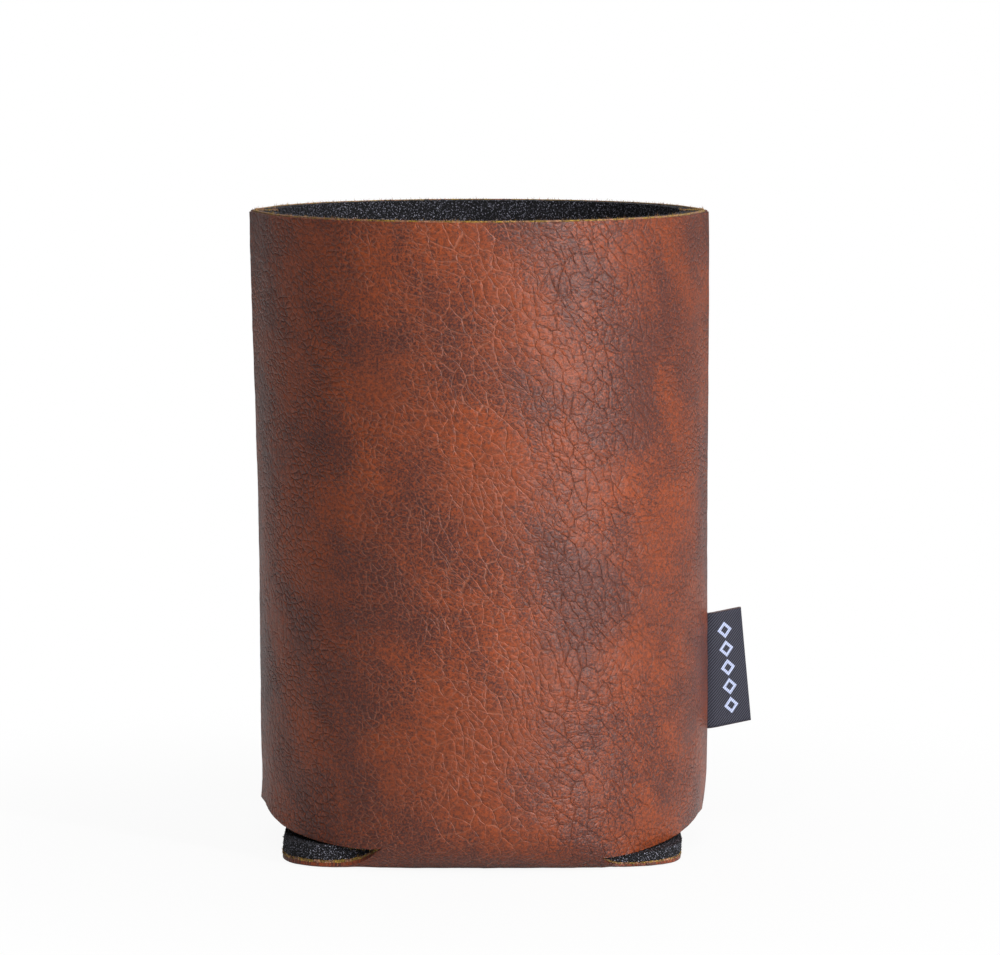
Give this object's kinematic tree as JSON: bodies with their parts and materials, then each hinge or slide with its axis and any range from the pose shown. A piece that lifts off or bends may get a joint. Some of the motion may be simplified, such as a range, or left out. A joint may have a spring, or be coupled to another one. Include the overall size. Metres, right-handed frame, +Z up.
{
  "type": "can cooler sleeve",
  "caption": "Brown leatherette can cooler sleeve lined with black foam, open at the top, with a strap under the can and a small black woven label in the right side seam.",
  "frame": {"origin": "middle of the underside of the strap, on the surface the sleeve stands on", "axes": "+Z up to the open rim, -Y towards the front panel, +X towards the seam with the label"},
  "size_m": [0.0824, 0.0738, 0.1047],
  "materials": {
    "leatherette": "satin distressed brown leatherette with an ochre cloth back",
    "foam": "matt open-cell foam",
    "ribbon": "fine black twill weave with a column of small pale lozenges"
  },
  "bodies": {
    "root": {"leatherette_cover": "leatherette", "foam_lining": "foam", "side_label": "ribbon"}
  },
  "joints": []
}
